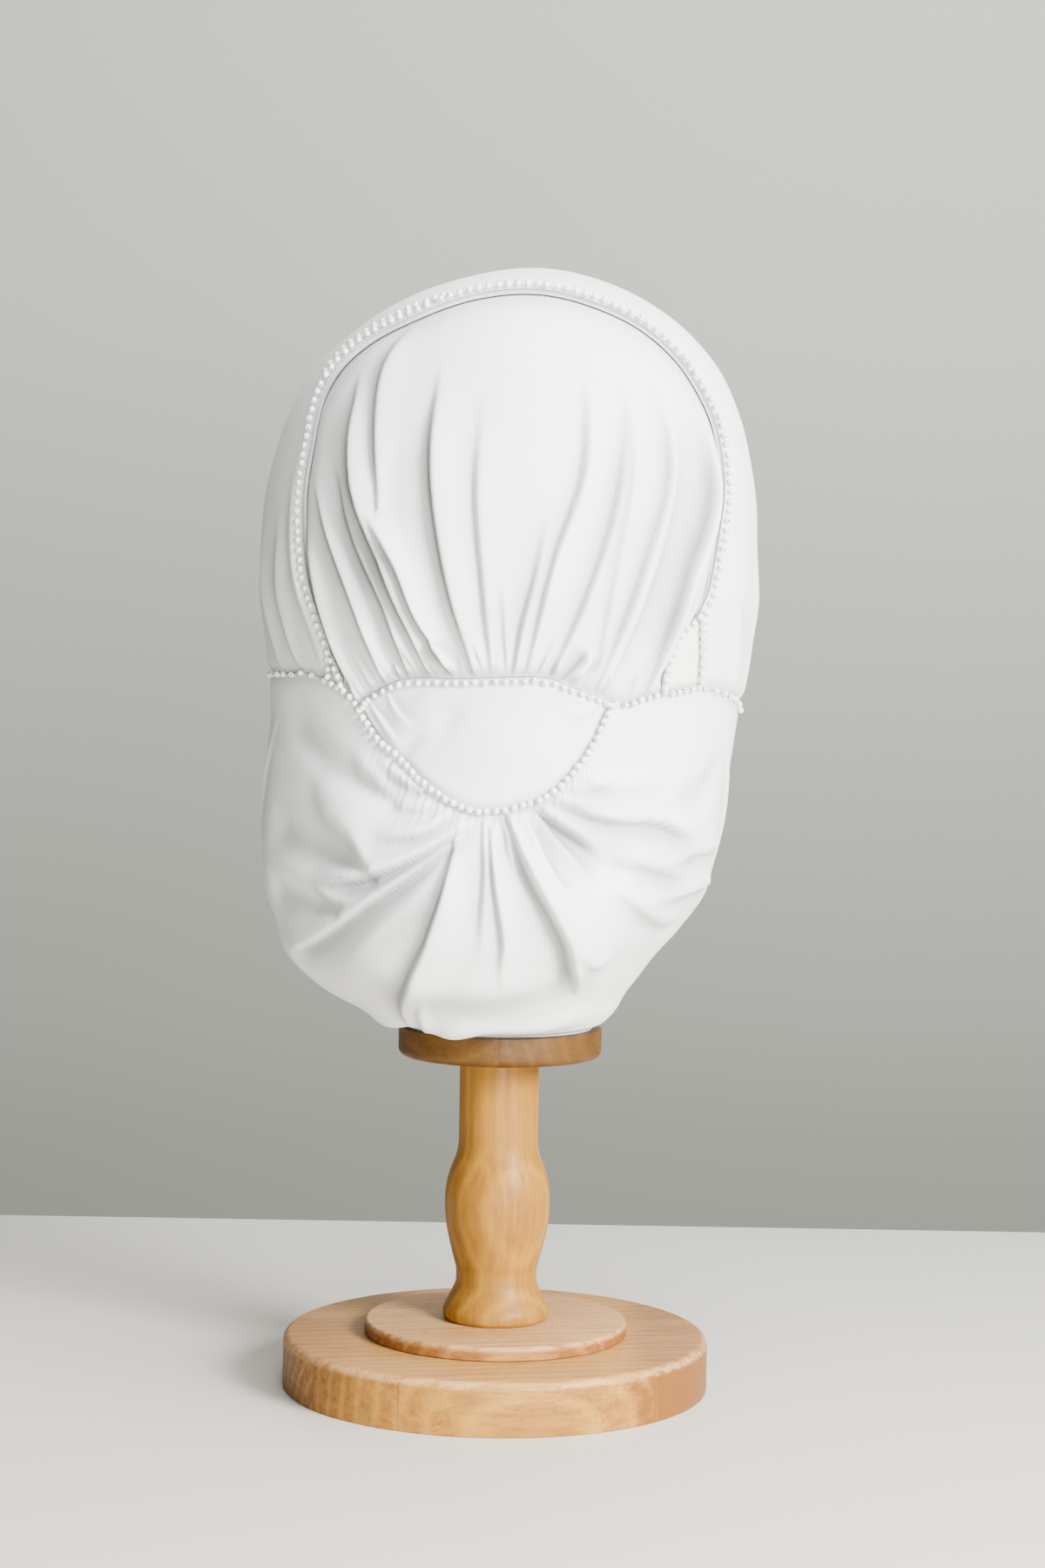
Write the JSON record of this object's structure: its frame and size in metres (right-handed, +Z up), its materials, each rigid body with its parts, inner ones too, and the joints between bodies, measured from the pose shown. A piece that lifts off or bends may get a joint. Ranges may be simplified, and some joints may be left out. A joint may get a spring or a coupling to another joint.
{
  "type": "pleated turban on turned wooden stand",
  "caption": "Pleated white bridal turban with gathered crown, nape yoke and puffed neck bag, resting on a turned wooden stand.",
  "frame": {"origin": "centre of the stand base's underside, on the floor", "axes": "+Z up the stand's axis, -Y towards the gathered back of the turban, +Y out of the face opening, +X to the wearer's right"},
  "size_m": [0.1993, 0.181, 0.4499],
  "materials": {
    "cloth": "white satin crepe with a soft sheen",
    "gusset_cloth": "plain ivory cloth, a little creamier than the rest",
    "wood": "pale turned rubberwood under satin varnish"
  },
  "bodies": {
    "root": {"crown_panel": "cloth", "front_band": "cloth", "nape_yoke": "cloth", "neck_bag": "cloth", "gusset_left": "gusset_cloth", "gusset_right": "gusset_cloth", "stand_base": "wood", "stand_step": "wood", "stand_column": "wood", "stand_top_disc": "wood"}
  },
  "joints": []
}
